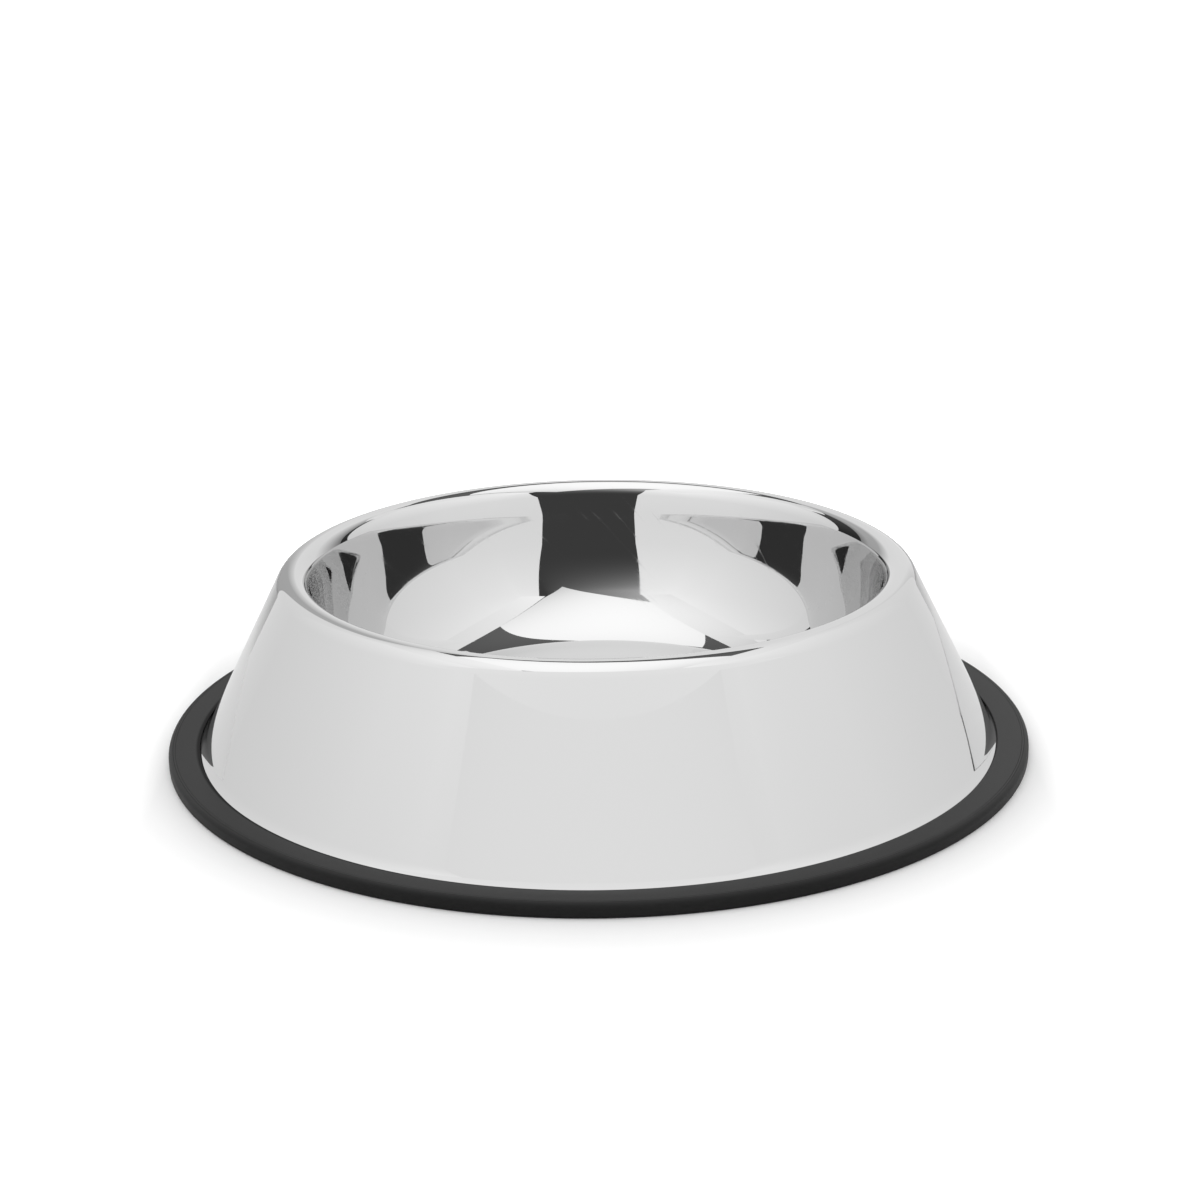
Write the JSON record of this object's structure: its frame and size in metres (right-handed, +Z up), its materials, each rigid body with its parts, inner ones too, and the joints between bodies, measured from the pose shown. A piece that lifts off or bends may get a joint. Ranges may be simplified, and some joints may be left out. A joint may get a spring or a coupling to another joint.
{
  "type": "pet bowl",
  "caption": "Non-tip steel pet bowl: a round basin in a wide conical skirt, with its foot flange seated in a flat rubber ring.",
  "frame": {"origin": "on the floor under the centre of the bowl, in the plane of the rubber ring's underside", "axes": "+Z up along the axis of the bowl; the bowl is round, so X and Y are any two level directions at right angles"},
  "size_m": [0.24, 0.24, 0.0512],
  "materials": {
    "steel": "mirror polished stainless steel with a faint polishing haze",
    "rubber": "moulded black rubber, satin"
  },
  "bodies": {
    "root": {"steel_bowl": "steel", "rubber_ring": "rubber"}
  },
  "joints": []
}
